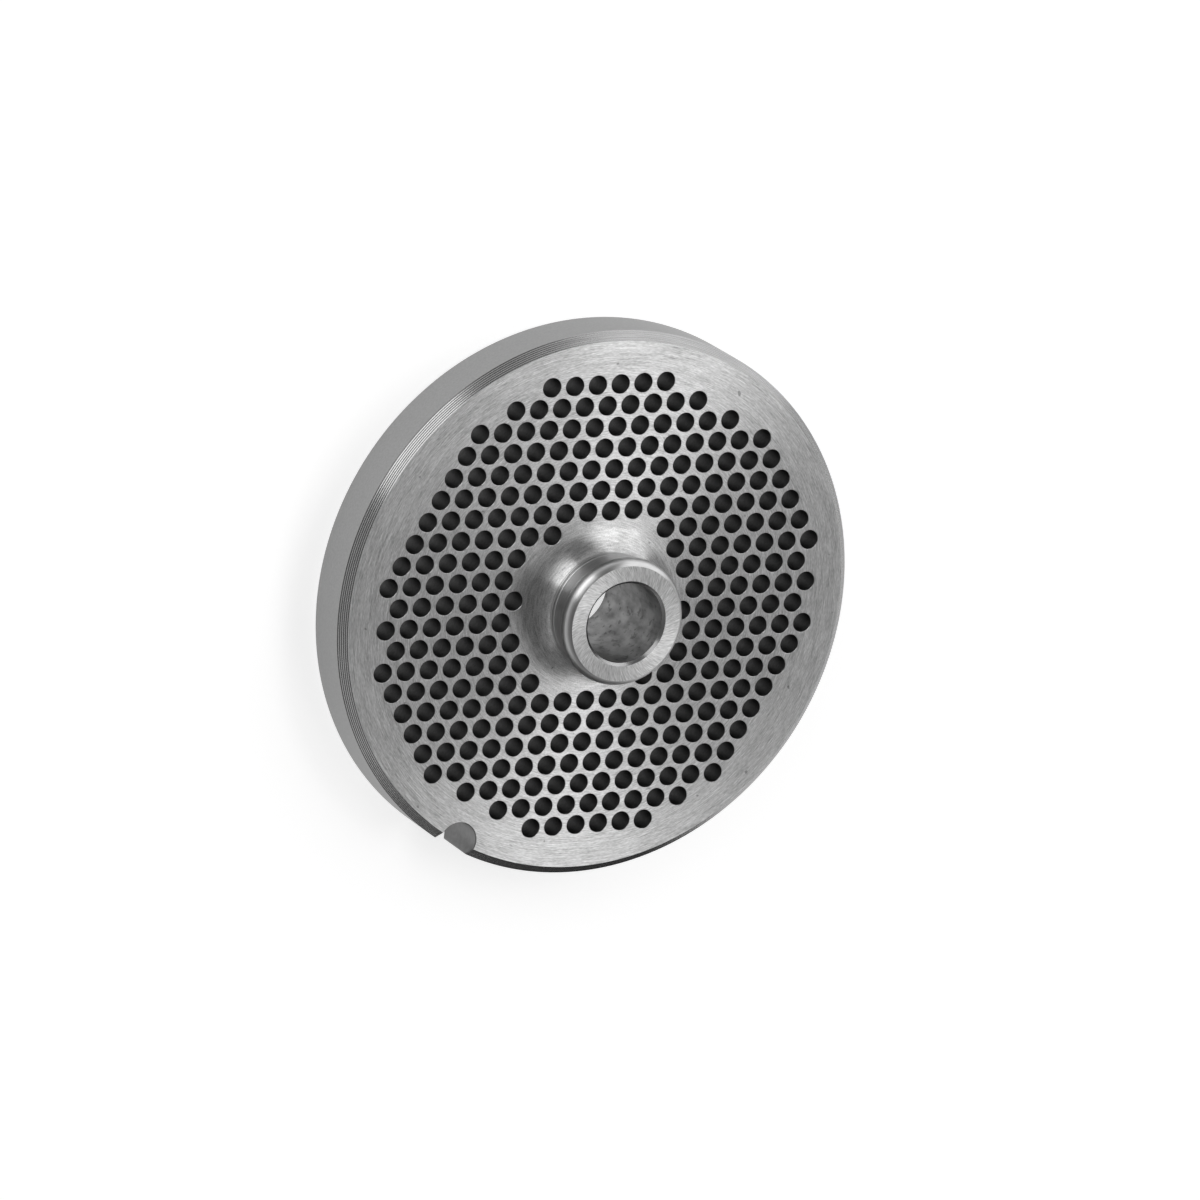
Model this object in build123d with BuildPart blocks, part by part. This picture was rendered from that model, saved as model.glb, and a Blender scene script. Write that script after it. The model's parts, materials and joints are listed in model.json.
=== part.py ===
"""Hub-type grinder plate: a ground steel disc with a turned hub and a grille of round holes.

The plate is one turned, drilled and ground piece of steel. It lies on its knife face, which is
the flat face at Z = 0, and the hub stands up along +Z. The origin is where the bore's axis meets
the knife face. The locating notch in the rim points to -Y. All sizes are in millimetres.
"""
from build123d import *
import math
import os

# --- disc ---------------------------------------------------------------------------------
plate_d = 82.0            # outside diameter, a running fit in the grinder's head
plate_t = 9.5             # from the knife face to the hub-side face
hub_side_chamfer = 1.25   # broad 45 degree chamfer of the rim, hub side
knife_side_chamfer = 0.9  # smaller 45 degree chamfer of the rim, knife side

# --- hub ----------------------------------------------------------------------------------
hub_height = 9.1          # the hub's end above the hub-side face
bore_d = 12.0             # running bore for the feed screw's stud
bore_lead_in = 0.4        # 45 degree lead-in of the bore at the hub's end
bore_edge_break = 0.2     # small 45 degree edge break of the bore at the knife face
hub_end_d = 17.3          # outside diameter of the flat ring at the hub's end
collar_d = 19.1           # widest diameter of the rounded collar
collar_drop = 1.5         # from the hub's end down to the collar's widest place
neck_d = 17.5             # straight neck between the collar and the flare
flare_w = 4.05            # how far the concave flare at the neck's foot spreads on the disc
flare_h = 2.2             # how high the flare climbs, to where it meets the neck

# --- locating notch -----------------------------------------------------------------------
notch_w = 5.7             # width of the half-round notch, which takes the head's key
notch_depth = 4.1         # from the rim to the notch's deepest place

# --- grille of holes ----------------------------------------------------------------------
hole_d = 2.9              # each hole, straight through
hole_pitch = 3.66         # between the centres of neighbouring holes
grille_sides = 12         # the field of holes is a regular polygon of this many sides
rim_margin = 6.95         # from the rim to the sides of the field, which no hole's centre passes
hub_margin = 0.4          # from the edge of the flare to the nearest centre a hole may have


def hole_centres():
    """Centres of the holes: a triangular grid inside a regular twelve-sided field.

    The grid's columns run along Y. The disc's axis falls midway between two places of the
    middle column, and no hole is centred where the hub and its flare stand.
    """
    column_step = hole_pitch * math.sqrt(3) / 2
    field_r = plate_d / 2 - rim_margin
    clear_r = neck_d / 2 + flare_w + hub_margin
    reach = math.ceil(plate_d / hole_pitch)
    side_angles = [math.radians(360 / grille_sides * side) for side in range(grille_sides)]
    centres = []
    for column in range(-reach, reach + 1):
        x = column * column_step
        for row in range(-reach, reach + 1):
            y = (row + (column + 1) % 2 / 2) * hole_pitch
            outermost = max(x * math.cos(a) + y * math.sin(a) for a in side_angles)
            if outermost < field_r and math.hypot(x, y) > clear_r:
                centres.append((x, y))
    return centres


# The collar's arc runs through the rim of the hub's flat end, and its widest place lies
# collar_drop below that end. Further down it meets the neck. The flare runs out of the disc's
# face without an edge and meets the neck at a blunt angle.
hub_top = plate_t + hub_height
collar_z = hub_top - collar_drop
overhang = (collar_d - hub_end_d) / 2
collar_r = (overhang**2 + collar_drop**2) / (2 * overhang)
neck_in_arc = neck_d / 2 - (collar_d / 2 - collar_r)
neck_top = collar_z - math.sqrt(collar_r**2 - neck_in_arc**2)

with BuildPart() as grinder_plate:
    # Half section of the whole turned piece, counter-clockwise from the bore's knife-side edge.
    with BuildSketch(Plane.XZ):
        with BuildLine():
            knife_face = Line(
                (bore_d / 2 + bore_edge_break, 0),
                (plate_d / 2 - knife_side_chamfer, 0),
            )
            rim = Polyline(
                knife_face @ 1,
                (plate_d / 2, knife_side_chamfer),
                (plate_d / 2, plate_t - hub_side_chamfer),
                (plate_d / 2 - hub_side_chamfer, plate_t),
            )
            hub_side_face = Line(rim @ 1, (neck_d / 2 + flare_w, plate_t))
            flare = TangentArc(
                hub_side_face @ 1,
                (neck_d / 2, plate_t + flare_h),
                tangent=hub_side_face % 1,
            )
            neck = Line(flare @ 1, (neck_d / 2, neck_top))
            collar = ThreePointArc(
                neck @ 1,
                (collar_d / 2, collar_z),
                (hub_end_d / 2, hub_top),
            )
            hub_end = Line(collar @ 1, (bore_d / 2 + bore_lead_in, hub_top))
            Polyline(
                hub_end @ 1,
                (bore_d / 2, hub_top - bore_lead_in),
                (bore_d / 2, bore_edge_break),
                knife_face @ 0,
            )
        make_face()
    revolve(axis=Axis.Z)

    # The notch is a round-bottomed slot that runs out through the rim: its outer rounded end
    # lies wholly outside the disc.
    notch_centre = plate_d / 2 - notch_depth + notch_w / 2
    with BuildSketch(Plane.XY):
        with Locations((0, -notch_centre - notch_w / 2)):
            SlotCenterToCenter(notch_w, notch_w, rotation=90)
    extrude(amount=plate_t, mode=Mode.SUBTRACT)

    # The grille: every hole in one cut, which also clears the thin edge of the flare.
    with BuildSketch(Plane.XY):
        with Locations(*hole_centres()):
            Circle(hole_d / 2)
    extrude(amount=hub_top, mode=Mode.SUBTRACT)

grinder_plate.part.label = "grinder_plate"

os.makedirs("parts", exist_ok=True)
export_step(grinder_plate.part, "parts/grinder_plate.step")
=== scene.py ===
"""Looks of the hub-type grinder plate: one piece of ground steel on a white floor.

The plate's fine mesh stands for the CAD solid. It has the same sizes, and adds what a cutting
tool leaves: the ridges on the broad chamfer, the grooves at the foot of the hub's neck and the
broken edges of the holes and of the notch. Lengths are in millimetres until a mesh is made.
"""
import json
import math

import bmesh
import bpy
from mathutils import Matrix, Vector
from mathutils.geometry import delaunay_2d_cdt


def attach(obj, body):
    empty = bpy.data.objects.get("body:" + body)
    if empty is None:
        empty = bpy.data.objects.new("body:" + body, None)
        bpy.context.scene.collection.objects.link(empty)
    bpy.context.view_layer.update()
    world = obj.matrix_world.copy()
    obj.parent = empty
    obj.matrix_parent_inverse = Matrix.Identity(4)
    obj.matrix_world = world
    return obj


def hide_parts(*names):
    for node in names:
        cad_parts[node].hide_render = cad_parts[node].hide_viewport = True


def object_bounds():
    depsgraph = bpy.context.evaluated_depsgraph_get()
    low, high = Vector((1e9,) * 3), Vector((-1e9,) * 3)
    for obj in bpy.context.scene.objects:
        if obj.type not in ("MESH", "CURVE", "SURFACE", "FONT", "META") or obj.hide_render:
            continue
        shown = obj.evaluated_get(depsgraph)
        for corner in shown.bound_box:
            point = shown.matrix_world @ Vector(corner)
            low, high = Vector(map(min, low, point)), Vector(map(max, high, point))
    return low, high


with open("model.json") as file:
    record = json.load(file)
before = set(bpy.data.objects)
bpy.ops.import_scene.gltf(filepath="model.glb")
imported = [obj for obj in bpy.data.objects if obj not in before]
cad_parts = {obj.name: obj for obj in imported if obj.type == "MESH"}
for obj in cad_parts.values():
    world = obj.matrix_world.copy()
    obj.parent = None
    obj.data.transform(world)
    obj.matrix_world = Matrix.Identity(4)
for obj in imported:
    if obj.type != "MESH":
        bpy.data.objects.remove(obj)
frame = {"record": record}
cad_low, cad_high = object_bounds()

MM = 0.001                # a millimetre in metres

# --- sizes read from the frame --------------------------------------------------------------
MOUNTS = {mount["name"]: mount for mount in frame["record"]["mounts"]}


def mount_r(name):
    return MOUNTS[name]["dims"]["r_mm"]


def mount_z(name):
    return MOUNTS[name]["pos_m"][2] / MM


def mount_span(name):
    """Lowest and highest height of a round mount's wall."""
    half = MOUNTS[name]["dims"]["length_mm"] / 2
    return mount_z(name) - half, mount_z(name) + half


PLATE_R = mount_r("rim")
PLATE_T = mount_z("hub_side_face")
RIM_LOW, RIM_HIGH = mount_span("rim")
BORE_R = mount_r("bore")
BORE_LOW, BORE_HIGH = mount_span("bore")
HUB_TOP = cad_high.z / MM
NOTCH_R = mount_r("notch")
NOTCH_C = -MOUNTS["notch"]["pos_m"][1] / MM   # from the axis to the centre of the notch's arc

# --- sizes that the frame doesn't give, as in the CAD source --------------------------------
HUB_END_R = 8.65          # flat ring at the hub's end
COLLAR_R = 9.55           # widest place of the rounded collar
COLLAR_DROP = 1.5         # from the hub's end down to that place
NECK_R = 8.75
FLARE_W = 4.05            # how far the flare spreads on the disc, from the neck
FLARE_H = 2.2             # how high it climbs
HOLE_R = 1.45
HOLE_PITCH = 3.66
GRILLE_SIDES = 12         # the field of holes is a regular polygon
RIM_MARGIN = 6.95         # from the rim to the sides of the field
HUB_MARGIN = 0.4          # from the flare's edge to the nearest centre a hole may have

FLARE_EDGE_R = NECK_R + FLARE_W
FLARE_ARC_R = (FLARE_W**2 + FLARE_H**2) / (2 * FLARE_H)

# --- what the tools left --------------------------------------------------------------------
RIDGES = 6                # turned ridges across the hub-side chamfer
RIDGE_DEPTH = 0.028
EDGE_BREAK = 0.05         # broken edges of the holes
NOTCH_BREAK = 0.12        # broken edges of the notch
GROOVES = ((3.4, 0.16, 0.07), (2.55, 0.14, 0.06))   # height over the face, half width, depth

# --- fineness of the mesh -------------------------------------------------------------------
RIM_STEPS = 360           # round the rim
HUB_STEPS = 240           # round the hub and the bore
HOLE_STEPS = 36           # round a hole
NOTCH_STEPS = 28          # round the notch
RIDGE_STEPS = 5           # across each ridge
RIM_ROWS = (0.02, 0.5, 0.98)   # rows down the rim; those near its edges keep it looking flat
FIELD_EDGE_R = 11.5       # out to here the flare is turned rings; beyond it holes cut it
FLARE_RINGS = 5           # rings of points on the rest of the flare, between the holes
FLARE_STEPS = 24          # up the turned rings
NECK_STEPS = 96           # up the neck
COLLAR_STEPS = 28         # over the collar
SHARP_ANGLE = 24          # degrees between two faces, from which their edge is sharp
WELD = 0.001              # points nearer than this are one
SAME_POINT = 1e-5         # the same for the flat faces' triangles

# --- parts of the surface, in the order of the mesh's materials -----------------------------
ZONES = ["face", "chamfer", "rim", "hub", "hub_end", "bore", "hole", "notch"]


# --- mesh -----------------------------------------------------------------------------------
class Skin:
    """Vertices in millimetres and faces with the zone that each belongs to."""

    def __init__(self):
        self.points = []
        self.faces = []
        self.zones = []

    def add(self, points):
        """Adds a row of vertices and gives their numbers."""
        start = len(self.points)
        self.points.extend(tuple(p) for p in points)
        return list(range(start, start + len(points)))

    def face(self, corners, zone):
        self.faces.append(tuple(corners))
        self.zones.append(ZONES.index(zone))

    def strip(self, lower, upper, zone, closed):
        """Quads between two rows of vertices with the same count. Closed rows run right round."""
        count = len(lower)
        for k in range(count if closed else count - 1):
            n = (k + 1) % count
            self.face((lower[k], lower[n], upper[n], upper[k]), zone)

    def mesh(self, name):
        """One closed mesh in metres: rows that meet are welded and every face looks outwards."""
        made = bpy.data.meshes.new(name)
        made.from_pydata([Vector(p) * MM for p in self.points], [], self.faces)
        made.polygons.foreach_set("material_index", self.zones)
        welded = bmesh.new()
        welded.from_mesh(made)
        bmesh.ops.remove_doubles(welded, verts=welded.verts, dist=WELD * MM)
        bmesh.ops.recalc_face_normals(welded, faces=welded.faces)
        welded.to_mesh(made)
        welded.free()
        return made


def circle(radius, steps, centre=(0.0, 0.0)):
    """Points of a circle, counter-clockwise from its +X side."""
    turns = [2 * math.pi * k / steps for k in range(steps)]
    return [
        (centre[0] + radius * math.cos(turn), centre[1] + radius * math.sin(turn))
        for turn in turns
    ]


def at_height(outline, z):
    return [(x, y, z) for x, y in outline]


def between(low, high, steps):
    """Even steps from low to high, with both of them."""
    return [low + (high - low) * k / steps for k in range(steps + 1)]


def face_r(z):
    """Radius at which the flat face at that height ends."""
    return PLATE_R - (PLATE_T - RIM_HIGH if z > 0 else RIM_LOW)


def hole_centres():
    """Centres of the holes, by the CAD source's rule: a triangular grid inside a regular
    twelve-sided field, with no centre where the hub and its flare stand."""
    column_step = HOLE_PITCH * math.sqrt(3) / 2
    field_r = PLATE_R - RIM_MARGIN
    clear_r = FLARE_EDGE_R + HUB_MARGIN
    reach = math.ceil(2 * PLATE_R / HOLE_PITCH)
    side_angles = [math.radians(360 / GRILLE_SIDES * side) for side in range(GRILLE_SIDES)]
    centres = []
    for column in range(-reach, reach + 1):
        x = column * column_step
        for row in range(-reach, reach + 1):
            y = (row + (column + 1) % 2 / 2) * HOLE_PITCH
            outermost = max(x * math.cos(a) + y * math.sin(a) for a in side_angles)
            if outermost < field_r and math.hypot(x, y) > clear_r:
                centres.append((x, y))
    return centres


def flare_height(radius):
    """Height of the hub's flare over the disc's hub-side face."""
    if radius >= FLARE_EDGE_R:
        return 0.0
    return FLARE_ARC_R - math.sqrt(FLARE_ARC_R**2 - (FLARE_EDGE_R - radius) ** 2)


def on_disc(x, y, z):
    """A point of the disc, which on the hub side the flare's thin edge lifts."""
    return (x, y, z + flare_height(math.hypot(x, y)) if z > PLATE_T / 2 else z)


def notch_half_angle(radius, half_width):
    """Angle off -Y at which a circle about the axis crosses the notch's outline."""
    corner = math.hypot(NOTCH_C, half_width)
    if radius >= corner:
        return math.asin(half_width / radius)
    cos_turn = (radius**2 - NOTCH_C**2 - half_width**2) / (2 * NOTCH_C * half_width)
    turn = math.acos(max(-1.0, min(1.0, cos_turn)))
    return math.atan2(half_width * math.sin(turn), NOTCH_C + half_width * math.cos(turn))


def notch_outline(radius, half_width):
    """The notch's outline from where it leaves the circle of that radius on the -X side, round
    to the +X side. Every outline has the same count of points."""
    half = notch_half_angle(radius, half_width)
    end_x, end_y = radius * math.sin(half), -radius * math.cos(half)
    last_turn = math.pi / 2
    if end_y > -NOTCH_C:
        last_turn = math.atan2(end_x, end_y + NOTCH_C)
    turns = [last_turn * (2 * k / NOTCH_STEPS - 1) for k in range(NOTCH_STEPS + 1)]
    arc = [(half_width * math.sin(t), -NOTCH_C + half_width * math.cos(t)) for t in turns]
    return [(-end_x, end_y)] + arc + [(end_x, end_y)]


def in_notch(x, y, half_width):
    if y < -NOTCH_C:
        return abs(x) < half_width
    return math.hypot(x, y + NOTCH_C) < half_width


def open_ring(radius, half_width):
    """A circle that stops at both sides of the notch, counter-clockwise from its +X side."""
    half = notch_half_angle(radius, half_width)
    start, span = -math.pi / 2 + half, 2 * math.pi - 2 * half
    angles = [start + span * k / RIM_STEPS for k in range(RIM_STEPS + 1)]
    return [(radius * math.cos(a), radius * math.sin(a)) for a in angles]


def rim_profile():
    """Radius, height and zone of each row from the hub-side face down to the knife face. The
    zone is that of the band below the row."""
    chamfer = PLATE_T - RIM_HIGH
    count = RIDGES * RIDGE_STEPS
    points = []
    for k in range(count):
        across = chamfer * k / count
        scallop = RIDGE_DEPTH * math.sin(math.pi * (k % RIDGE_STEPS) / RIDGE_STEPS)
        inward = scallop / math.sqrt(2)
        points.append((PLATE_R - chamfer + across - inward, PLATE_T - across - inward, "chamfer"))
    points.append((PLATE_R, RIM_HIGH, "rim"))
    for share in RIM_ROWS:
        points.append((PLATE_R, RIM_HIGH + (RIM_LOW - RIM_HIGH) * share, "rim"))
    points.append((PLATE_R, RIM_LOW, "chamfer"))
    points.append((PLATE_R - RIM_LOW, 0.0, "face"))
    return points


def add_rim(skin):
    """The chamfers and the rim, open at the notch, then the notch's wall and broken edges."""
    profile = rim_profile()
    wide = NOTCH_R + NOTCH_BREAK
    rows = [skin.add(at_height(open_ring(r, wide), z)) for r, z, _ in profile]
    for upper, lower, (_, _, zone) in zip(rows, rows[1:], profile):
        skin.strip(lower, upper, zone, closed=False)

    wall = []
    for r, z, _ in profile:
        wall_z = min(max(z, NOTCH_BREAK), PLATE_T - NOTCH_BREAK)
        wall.append(skin.add(at_height(notch_outline(r - NOTCH_BREAK, NOTCH_R), wall_z)))
    for upper, lower in zip(wall, wall[1:]):
        skin.strip(upper, lower, "notch", closed=False)

    # Broken edges: down both sides of the notch, then along its outline on both flat faces.
    skin.strip([row[0] for row in rows], [row[-1] for row in wall], "notch", closed=False)
    skin.strip([row[0] for row in wall], [row[-1] for row in rows], "notch", closed=False)
    for wall_row, z in ((wall[0], PLATE_T), (wall[-1], 0.0)):
        edge = skin.add(at_height(notch_outline(face_r(z), wide), z))
        skin.strip(wall_row, edge, "notch", closed=False)


def face_outline(z, half_width):
    """The outer edge of a flat face, with the notch."""
    outline = open_ring(face_r(z), half_width)
    for point in notch_outline(face_r(z), half_width):
        if min(math.dist(point, outline[0]), math.dist(point, outline[-1])) > WELD:
            outline.append(point)
    return outline


def flare_points(centres):
    """Points on the flare's thin edge, between the holes that cut it."""
    step = (FLARE_EDGE_R - FIELD_EDGE_R) / FLARE_RINGS
    rings = [circle(FIELD_EDGE_R + step * (k + 1), HUB_STEPS) for k in range(FLARE_RINGS)]
    clear = HOLE_R + 2 * EDGE_BREAK
    return [p for ring in rings for p in ring if min(math.dist(p, c) for c in centres) > clear]


def add_face(skin, z, inner_r, centres):
    """A flat face of the disc, with the notch and every hole left out."""
    wide = NOTCH_R + NOTCH_BREAK
    loops = [face_outline(z, wide), circle(inner_r, HUB_STEPS)]
    loops += [circle(HOLE_R + EDGE_BREAK, HOLE_STEPS, centre) for centre in centres]
    points, edges, loop_of = [], [], []
    for number, loop in enumerate(loops):
        start, count = len(points), len(loop)
        points += [Vector(p) for p in loop]
        edges += [(start + k, start + (k + 1) % count) for k in range(count)]
        loop_of += [number] * count
    if z > 0:
        free = flare_points(centres)
        points += [Vector(p) for p in free]
        loop_of += [None] * len(free)

    # The triangles fill all that the rim encloses, so those in a hole, in the hub and in the
    # notch are left out. In a hole and in the hub, all three corners are on the same loop.
    out, _, triangles, origin, _, _ = delaunay_2d_cdt(points, edges, [], 0, SAME_POINT)
    found_on = [loop_of[found[0]] for found in origin]
    corners = skin.add([on_disc(*points[found[0]], z) for found in origin])
    for triangle in triangles:
        owners = {found_on[c] for c in triangle}
        if len(owners) == 1 and not owners & {0, None}:
            continue
        x = sum(out[c].x for c in triangle) / 3
        y = sum(out[c].y for c in triangle) / 3
        if not in_notch(x, y, wide):
            skin.face([corners[c] for c in triangle], "face")


def add_holes(skin, centres):
    """Wall and broken edges of each hole."""
    levels = [
        (HOLE_R + EDGE_BREAK, 0.0, "face"),
        (HOLE_R, EDGE_BREAK, "hole"),
        (HOLE_R, PLATE_T - EDGE_BREAK, "face"),
        (HOLE_R + EDGE_BREAK, PLATE_T, "face"),
    ]
    for centre in centres:
        rows = [
            skin.add([on_disc(x, y, z) for x, y in circle(r, HOLE_STEPS, centre)])
            for r, z, _ in levels
        ]
        for lower, upper, (_, _, zone) in zip(rows, rows[1:], levels):
            skin.strip(upper, lower, zone, closed=True)


def groove_depth(height):
    """Depth of the neck's grooves at that height over the hub-side face."""
    depth = 0.0
    for middle, half_width, deepest in GROOVES:
        share = abs(height - middle) / half_width
        if share < 1:
            depth = max(depth, deepest * (1 - share**2))
    return depth


def hub_profile():
    """Radius, height and zone of each row from the flare over the hub's end and down the bore.
    The zone is that of the band after the row."""
    flare = [
        (r, PLATE_T + flare_height(r), "face")
        for r in between(FIELD_EDGE_R, NECK_R, FLARE_STEPS)[:-1]
    ]

    overhang = COLLAR_R - HUB_END_R
    collar_r = (overhang**2 + COLLAR_DROP**2) / (2 * overhang)
    collar_low = -math.acos((NECK_R - COLLAR_R + collar_r) / collar_r)
    collar_high = math.asin(COLLAR_DROP / collar_r)
    collar = [
        (
            COLLAR_R - collar_r + collar_r * math.cos(turn),
            HUB_TOP - COLLAR_DROP + collar_r * math.sin(turn),
            "hub",
        )
        for turn in between(collar_low, collar_high, COLLAR_STEPS)[:-1]
    ]

    neck_low = PLATE_T + flare_height(NECK_R)
    neck_high = collar[0][1]
    neck = [
        (NECK_R - groove_depth(z - PLATE_T), z, "hub")
        for z in between(neck_low, neck_high, NECK_STEPS)[:-1]
    ]

    end_and_bore = [
        (HUB_END_R, HUB_TOP, "hub_end"),
        (BORE_R + HUB_TOP - BORE_HIGH, HUB_TOP, "chamfer"),
        (BORE_R, BORE_HIGH, "bore"),
        (BORE_R, BORE_LOW, "bore"),
        (BORE_R + BORE_LOW, 0.0, "bore"),
    ]
    return flare + neck + collar + end_and_bore


def add_hub(skin):
    profile = hub_profile()
    rows = [skin.add(at_height(circle(r, HUB_STEPS), z)) for r, z, _ in profile]
    for lower, upper, (_, _, zone) in zip(rows, rows[1:], profile):
        skin.strip(lower, upper, zone, closed=True)


def plate_mesh():
    skin = Skin()
    centres = hole_centres()
    add_rim(skin)
    add_face(skin, PLATE_T, FIELD_EDGE_R, centres)
    add_face(skin, 0.0, BORE_R + BORE_LOW, centres)
    add_holes(skin, centres)
    add_hub(skin)
    made = skin.mesh("grinder_plate_fine")
    made.shade_smooth()
    made.set_sharp_from_angle(angle=math.radians(SHARP_ANGLE))
    return made


# --- finishes -------------------------------------------------------------------------------
LAY = 0.25                # turns the highlight across marks that run round the axis


class Finish:
    """A material of bare steel, with the nodes that mark it.

    Positions in the nodes are in millimetres, in the part's own frame. Marks that go round the
    axis are noise over the direction from the axis and a distance, so that they have no seam.
    """

    def __init__(self, name, roughness, anisotropic=0.0, turn=0.0):
        self.material = bpy.data.materials.new(name)
        self.material.use_nodes = True
        self.tree = self.material.node_tree
        self.steel = self.tree.nodes["Principled BSDF"]
        self.steel.inputs["Metallic"].default_value = 1.0
        self.steel.inputs["Roughness"].default_value = roughness
        self.steel.inputs["Anisotropic"].default_value = anisotropic
        self.steel.inputs["Anisotropic Rotation"].default_value = turn
        coordinates = self.add("ShaderNodeTexCoord")
        self.place = self.vector("SCALE", coordinates.outputs["Object"], scale=1 / MM)
        x, y, self.z = self.split(self.place)
        flat = self.combine(x, y, 0.0)
        self.radius = self.vector("LENGTH", flat)
        self.direction = self.vector("NORMALIZE", flat)
        if anisotropic:
            round_axis = self.combine(self.math("MULTIPLY", y, -1.0), x, 0.0)
            self.link(round_axis, self.steel.inputs["Tangent"])

    def link(self, source, socket):
        self.tree.links.new(source, socket)

    def add(self, kind, inputs=None, **settings):
        """A node, with its settings and with a value or a link for each of those inputs."""
        node = self.tree.nodes.new(kind)
        for name, value in settings.items():
            setattr(node, name, value)
        for key, value in (inputs or {}).items():
            if isinstance(value, bpy.types.NodeSocket):
                self.link(value, node.inputs[key])
            else:
                node.inputs[key].default_value = value
        return node

    def math(self, operation, a, b=0.0, c=0.0):
        return self.add("ShaderNodeMath", {0: a, 1: b, 2: c}, operation=operation).outputs[0]

    def vector(self, operation, a, b=None, scale=None):
        inputs = {0: a}
        if b is not None:
            inputs[1] = b
        if scale is not None:
            inputs["Scale"] = scale
        node = self.add("ShaderNodeVectorMath", inputs, operation=operation)
        return node.outputs["Value" if operation == "LENGTH" else "Vector"]

    def split(self, vector):
        return self.add("ShaderNodeSeparateXYZ", {0: vector}).outputs

    def combine(self, x, y, z):
        return self.add("ShaderNodeCombineXYZ", {0: x, 1: y, 2: z}).outputs[0]

    def noise(self, vector, scale=1.0, detail=2.0):
        inputs = {"Vector": vector, "Scale": scale, "Detail": detail}
        return self.add("ShaderNodeTexNoise", inputs).outputs[0]

    def round_noise(self, along, across, distance, detail=2.0, offset=0.0, direction=None):
        """Noise whose marks lie round the axis: `along` marks to a radian and `across` marks to
        a millimetre of the given distance."""
        spread = self.vector("SCALE", direction or self.direction, scale=along)
        x, y, _ = self.split(spread)
        height = self.math("MULTIPLY_ADD", distance, across, offset)
        return self.noise(self.combine(x, y, height), detail=detail)

    def slanted(self, slant, radius):
        """Directions that lean forward on the way out, by that slope at that radius."""
        lean = self.math("MULTIPLY_ADD", self.radius, -slant / radius, slant)
        ahead = self.vector("CROSS_PRODUCT", (0.0, 0.0, 1.0), self.direction)
        return self.vector("ADD", self.direction, self.vector("SCALE", ahead, scale=lean))

    def ramp(self, value, low, high):
        """0 up to low, 1 from high on, and even in between."""
        return self.add("ShaderNodeMapRange", {"Value": value, 1: low, 2: high}).outputs[0]

    def stretched(self, noise):
        """Noise keeps to the middle of its range; this widens it to all from 0 to 1."""
        return self.ramp(noise, low=0.3, high=0.7)

    def blend(self, first, second, share):
        return self.add("ShaderNodeMix", {0: share, 2: first, 3: second}).outputs[0]

    def raised(self, level, mask, by):
        """A grey level that a mask from 0 to 1 raises by up to that much."""
        return self.math("MULTIPLY_ADD", mask, by, level)

    def darkened(self, level, mask, by):
        """A grey level that a mask from 0 to 1 lowers by up to that share of itself."""
        return self.math("MULTIPLY", level, self.math("MULTIPLY_ADD", mask, -by, 1.0))

    def grey(self, level):
        """Sets the steel's colour from a grey level."""
        self.link(self.combine(level, level, level), self.steel.inputs["Base Color"])

    def bump(self, height, depth):
        """Relief: height from 0 to 1 stands for that depth in millimetres."""
        inputs = {"Height": height, "Distance": depth * MM, "Strength": 1.0}
        node = self.add("ShaderNodeBump", inputs)
        self.link(node.outputs[0], self.steel.inputs["Normal"])


def ground_face():
    """Disc faces and the hub's flare, ground with marks round the axis: fine streaks that grow
    shorter on the way out, dashes, broad bands, painted glints (bright streaks painted into the
    colour near the rim) and a few dark pits."""
    finish = Finish("ground_face", roughness=0.33, anisotropic=0.85, turn=LAY)
    radius = finish.radius
    inner = finish.round_noise(along=6.0, across=6.0, distance=radius, detail=3.0)
    outer = finish.round_noise(along=14.0, across=8.0, distance=radius, detail=3.0)
    fine = finish.blend(inner, outer, share=finish.ramp(radius, low=14.0, high=26.0))
    dashes = finish.round_noise(along=60.0, across=8.0, distance=radius, offset=70.0)
    broad = finish.round_noise(along=5.0, across=0.9, distance=radius, offset=40.0)
    level = finish.raised(0.24, finish.stretched(fine), by=0.25)
    level = finish.raised(level, finish.stretched(dashes), by=0.2)
    level = finish.raised(level, finish.stretched(broad), by=0.1)

    # Painted glints: bright streaks near the rim, painted into the colour as highlights.
    marks = finish.round_noise(along=9.0, across=7.0, distance=radius, detail=1.0, offset=90.0)
    near_rim = finish.ramp(radius, low=33.0, high=39.0)
    painted_glints = finish.math("MULTIPLY", finish.ramp(marks, low=0.68, high=0.74), near_rim)
    level = finish.raised(level, painted_glints, by=0.25)

    spots = finish.noise(finish.place, scale=0.75, detail=1.0)
    level = finish.darkened(level, finish.ramp(spots, low=0.75, high=0.79), by=0.45)
    finish.grey(level)
    finish.bump(fine, depth=0.006)
    return finish.material


def turned_chamfer():
    """The disc's chamfers and the bore's lead-in."""
    finish = Finish("turned_chamfer", roughness=0.25, anisotropic=0.5, turn=LAY)
    marks = finish.round_noise(along=6.0, across=6.0, distance=finish.z)
    finish.grey(finish.raised(0.27, marks, by=0.18))
    return finish.material


def matte_rim():
    finish = Finish("matte_rim", roughness=0.5)
    grain = finish.noise(finish.place, scale=3.0, detail=4.0)
    finish.grey(finish.raised(0.27, grain, by=0.1))
    return finish.material


def turned_hub():
    """The hub's neck and collar, with marks that follow its profile."""
    finish = Finish("turned_hub", roughness=0.31, anisotropic=0.75, turn=LAY)
    path = finish.math("SUBTRACT", finish.z, finish.radius)
    marks = finish.round_noise(along=4.0, across=6.0, distance=path)
    finish.grey(finish.raised(0.42, marks, by=0.2))
    finish.bump(marks, depth=0.004)
    return finish.material


def brushed_end():
    """Hub's end ring, with short marks that lean off the radius."""
    lean = math.radians(25)
    finish = Finish("brushed_end", roughness=0.35, anisotropic=0.6, turn=lean / (2 * math.pi))
    leaning = finish.slanted(math.tan(lean), HUB_END_R)
    marks = finish.round_noise(along=60.0, across=1.0, distance=finish.radius, direction=leaning)
    finish.grey(finish.raised(0.37, finish.stretched(marks), by=0.36))
    finish.bump(marks, depth=0.004)
    return finish.material


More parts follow.
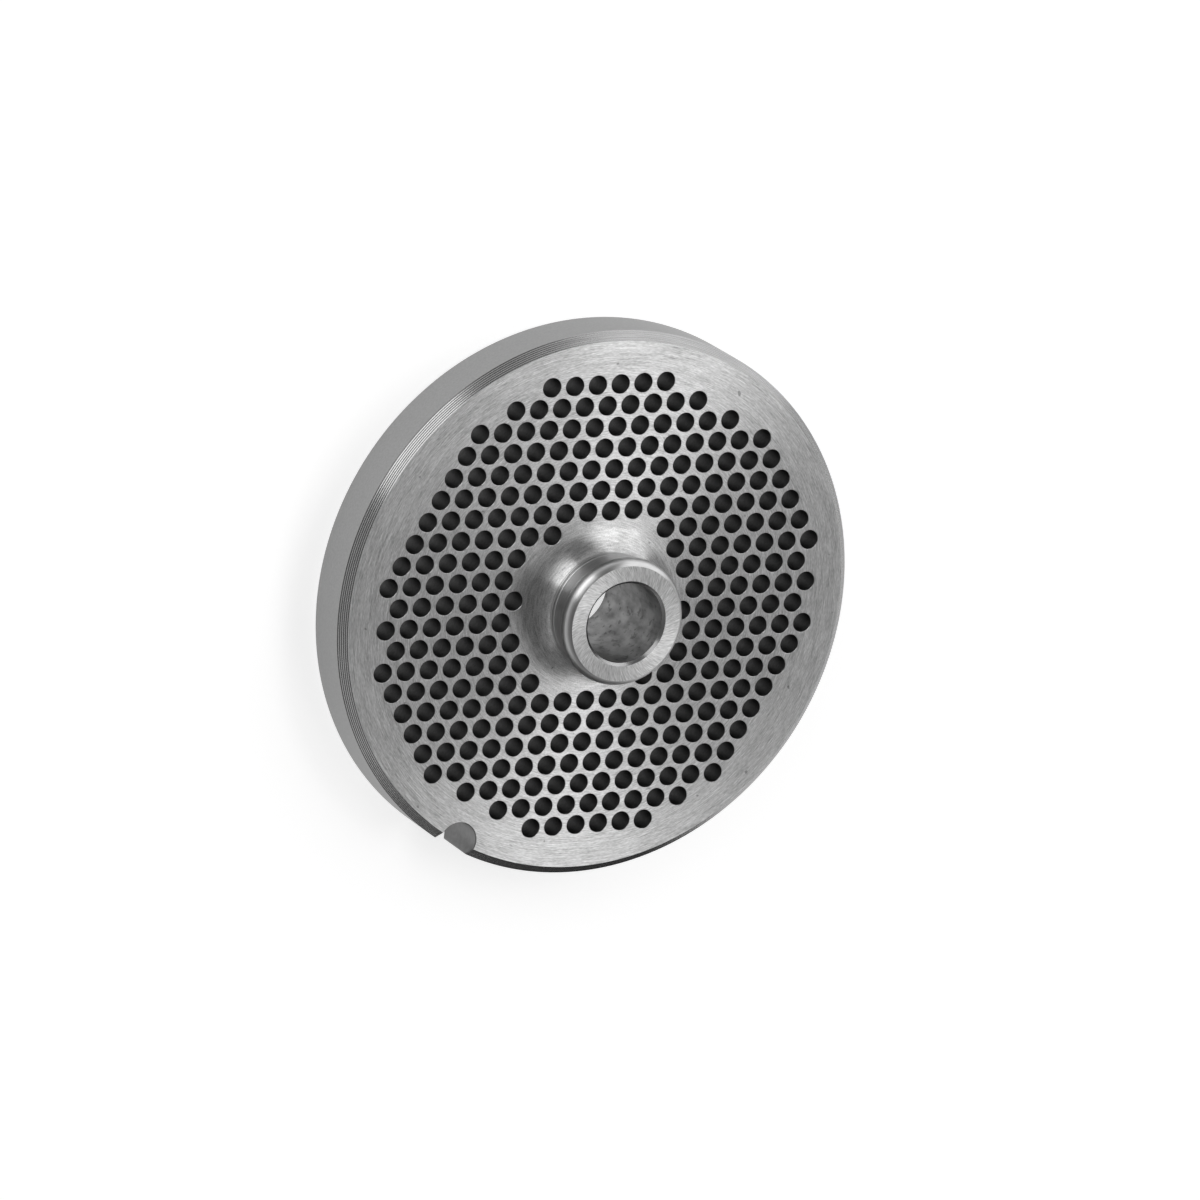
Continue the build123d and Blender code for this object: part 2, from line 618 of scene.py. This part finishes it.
def worn_bore():
    """The running bore, with worn patches, marks round its wall and dark specks."""
    finish = Finish("worn_bore", roughness=0.4)
    stains = finish.noise(finish.place, scale=0.35, detail=3.0)
    patches = finish.ramp(stains, low=0.35, high=0.65)
    drawn = finish.round_noise(along=5.0, across=0.35, distance=finish.z, detail=3.0)
    spots = finish.noise(finish.place, scale=1.1, detail=2.0)
    level = finish.raised(0.12, patches, by=0.16)
    level = finish.raised(level, finish.ramp(drawn, low=0.35, high=0.65), by=0.1)
    level = finish.darkened(level, finish.ramp(spots, low=0.6, high=0.68), by=0.45)
    finish.grey(level)
    finish.bump(patches, depth=0.02)
    return finish.material


def drilled_hole_painted_shade():
    finish = Finish("drilled_hole_painted_shade", roughness=0.4)
    grain = finish.noise(finish.place, scale=2.0)
    # The walls' dark grey is painted shade for the depth of the holes; the grain on it is the
    # wall's own.
    finish.grey(finish.raised(0.09, grain, by=0.12))
    return finish.material


def milled_notch():
    finish = Finish("milled_notch", roughness=0.45)
    grain = finish.noise(finish.place, scale=1.5, detail=3.0)
    finish.grey(finish.raised(0.16, grain, by=0.1))
    return finish.material


FINISHES = {
    "face": ground_face,
    "chamfer": turned_chamfer,
    "rim": matte_rim,
    "hub": turned_hub,
    "hub_end": brushed_end,
    "bore": worn_bore,
    "hole": drilled_hole_painted_shade,
    "notch": milled_notch,
}


# --- plate ----------------------------------------------------------------------------------
def add_object(name, data):
    """An object of the scene, at the frame's origin."""
    made = bpy.data.objects.new(name, data)
    bpy.context.scene.collection.objects.link(made)
    return made


plate = add_object("ground_plate", plate_mesh())
for zone in ZONES:
    plate.data.materials.append(FINISHES[zone]())
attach(plate, "root")
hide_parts("grinder_plate")

# --- camera ---------------------------------------------------------------------------------
CAM_LENS = 261.8
CAM_SENSOR = 36
CAM_AIM = (-0.23, 0.88)   # where the view's middle meets the hub-side face
CAM_DISTANCE = 1263.4     # from there
CAM_AZIMUTH = 177.63      # degrees from +X
CAM_POLAR = 31.73         # degrees from +Z
CAM_ROLL = 122.73         # degrees about the view axis


def towards(azimuth, polar):
    """Axes of something that faces the plate from that direction, in degrees: level to its
    side, up along its back, and away from the plate."""
    turn, tilt = math.radians(azimuth), math.radians(polar)
    away = Vector(
        (math.sin(tilt) * math.cos(turn), math.sin(tilt) * math.sin(turn), math.cos(tilt))
    )
    side = Vector((-math.sin(turn), math.cos(turn), 0.0))
    return Matrix((side, away.cross(side), away)).transposed().to_4x4()


def add_camera():
    cam_data = bpy.data.cameras.new("camera")
    cam_data.sensor_width = CAM_SENSOR
    cam_data.lens = CAM_LENS
    cam = add_object("camera", cam_data)
    bpy.context.scene.camera = cam
    aim = Vector((*CAM_AIM, PLATE_T))
    roll = Matrix.Rotation(math.radians(CAM_ROLL), 4, "Z")
    back_off = Matrix.Translation((0, 0, CAM_DISTANCE * MM))
    facing = towards(CAM_AZIMUTH, CAM_POLAR)
    cam.matrix_world = Matrix.Translation(aim * MM) @ facing @ back_off @ roll


add_camera()

# --- floor and flag -------------------------------------------------------------------------
FLOOR_HALF = 1.4          # metres
FLOOR_WHITE = 0.6
FLOOR_GLOW = 0.7          # lifts the floor to white for what looks at it, not for what it lights

FLAG_AZIMUTH = 312        # degrees from +X to where it stands
FLAG_NEAR = 47.0          # from the plate's axis to its near edge, which is on the floor
FLAG_DEEP = 80.0          # from the near edge to the far one, along the floor
FLAG_RISE = 30.0          # height of the far edge
FLAG_SIDES = (-70.0, 24.0)   # its two sides, from the line that runs out to it
FLAG_GREY = 0.04


def paper(name, grey):
    """A matte material of that grey, and its shader."""
    material = bpy.data.materials.new(name)
    material.use_nodes = True
    shader = material.node_tree.nodes["Principled BSDF"]
    shader.inputs["Base Color"].default_value = (grey, grey, grey, 1)
    shader.inputs["Roughness"].default_value = 1.0
    shader.inputs["Specular IOR Level"].default_value = 0.0
    return material, shader


def white_floor():
    material, shader = paper("white_floor", FLOOR_WHITE)
    shader.inputs["Emission Color"].default_value = (1, 1, 1, 1)
    tree = material.node_tree
    light_path = tree.nodes.new("ShaderNodeLightPath")
    seen = light_path.outputs["Is Camera Ray"]
    for ray in ("Is Glossy Ray", "Is Transmission Ray"):
        either = tree.nodes.new("ShaderNodeMath")
        either.operation = "MAXIMUM"
        tree.links.new(seen, either.inputs[0])
        tree.links.new(light_path.outputs[ray], either.inputs[1])
        seen = either.outputs[0]
    glow = tree.nodes.new("ShaderNodeMath")
    glow.operation = "MULTIPLY"
    glow.inputs[1].default_value = FLOOR_GLOW
    tree.links.new(seen, glow.inputs[0])
    tree.links.new(glow.outputs[0], shader.inputs["Emission Strength"])
    return material


def add_sheet(name, corners, material):
    """A flat sheet with its corners in metres."""
    sheet = bpy.data.meshes.new(name)
    sheet.from_pydata(corners, [], [range(len(corners))])
    sheet.materials.append(material)
    return add_object(name, sheet)


def add_floor():
    corners = [(-1, -1), (1, -1), (1, 1), (-1, 1)]
    spread = [(x * FLOOR_HALF, y * FLOOR_HALF, 0) for x, y in corners]
    floor = add_sheet("floor", spread, white_floor())


def add_flag():
    """A black card that leans away from the plate, as a photographer sets it to darken an edge.
    Only reflections show it."""
    turn = math.radians(FLAG_AZIMUTH)
    out = Vector((math.cos(turn), math.sin(turn), 0.0))
    side = Vector((-math.sin(turn), math.cos(turn), 0.0))
    near = [out * FLAG_NEAR + side * reach for reach in FLAG_SIDES]
    far = [corner + out * FLAG_DEEP + Vector((0.0, 0.0, FLAG_RISE)) for corner in near]
    black_card, _ = paper("black_card", FLAG_GREY)
    flag = add_sheet("flag", [corner * MM for corner in near + far[::-1]], black_card)
    flag.visible_camera = False
    flag.visible_diffuse = False
    flag.visible_shadow = False


add_floor()
add_flag()

# --- light ----------------------------------------------------------------------------------
LAMP_DISTANCE = 1.5       # metres from the plate
WALLS = ((4.5, 1.0), (5.0, 0.5), (30.0, 0.15))   # degrees over the horizon, and the grey there


def softbox(name, azimuth, polar, across, along, brightness):
    """A rectangular lamp that faces the plate.

    Azimuth from +X and polar angle from +Z say where it stands; across and along are how wide
    and how tall it looks from the plate; all are in degrees. Brightness is what it shows in a
    mirror, where 1 is white.
    """
    lamp_data = bpy.data.lights.new(name, "AREA")
    lamp_data.shape = "RECTANGLE"
    lamp_data.size = 2 * LAMP_DISTANCE * math.tan(math.radians(across / 2))
    lamp_data.size_y = 2 * LAMP_DISTANCE * math.tan(math.radians(along / 2))
    lamp_data.energy = math.pi * lamp_data.size * lamp_data.size_y * brightness
    lamp = add_object(name, lamp_data)
    lamp.matrix_world = towards(azimuth, polar) @ Matrix.Translation((0, 0, LAMP_DISTANCE))
    lamp.visible_camera = False


def studio_walls():
    """A dim studio round the softboxes. Its walls grow pale towards the floor, and their foot is
    as white as the floor."""
    world = bpy.data.worlds.new("studio")
    bpy.context.scene.world = world
    world.use_nodes = True
    tree = world.node_tree
    direction = tree.nodes.new("ShaderNodeTexCoord").outputs["Generated"]
    split = tree.nodes.new("ShaderNodeSeparateXYZ")
    ramp = tree.nodes.new("ShaderNodeValToRGB")
    stops = ramp.color_ramp.elements
    while len(stops) < len(WALLS):
        stops.new(1.0)
    for stop, (height, grey) in zip(stops, WALLS):
        stop.position = math.sin(math.radians(height))
        stop.color = (grey, grey, grey, 1)
    tree.links.new(direction, split.inputs[0])
    tree.links.new(split.outputs["Z"], ramp.inputs[0])
    tree.links.new(ramp.outputs[0], tree.nodes["Background"].inputs["Color"])


softbox("window", azimuth=72, polar=66, across=54, along=48, brightness=1.15)
softbox("window_top", azimuth=55, polar=34, across=38, along=14, brightness=2.5)
softbox("ceiling_near", azimuth=30, polar=20, across=26, along=14, brightness=0.9)
softbox("ceiling_far", azimuth=0, polar=34, across=20, along=14, brightness=1.0)
softbox("corner", azimuth=334, polar=48, across=18, along=14, brightness=2.4)
softbox("side_strip", azimuth=162, polar=55, across=34, along=26, brightness=1.1)
softbox("side_foot", azimuth=165, polar=79, across=38, along=22, brightness=2.5)
studio_walls()
bpy.context.scene.view_settings.view_transform = "Standard"
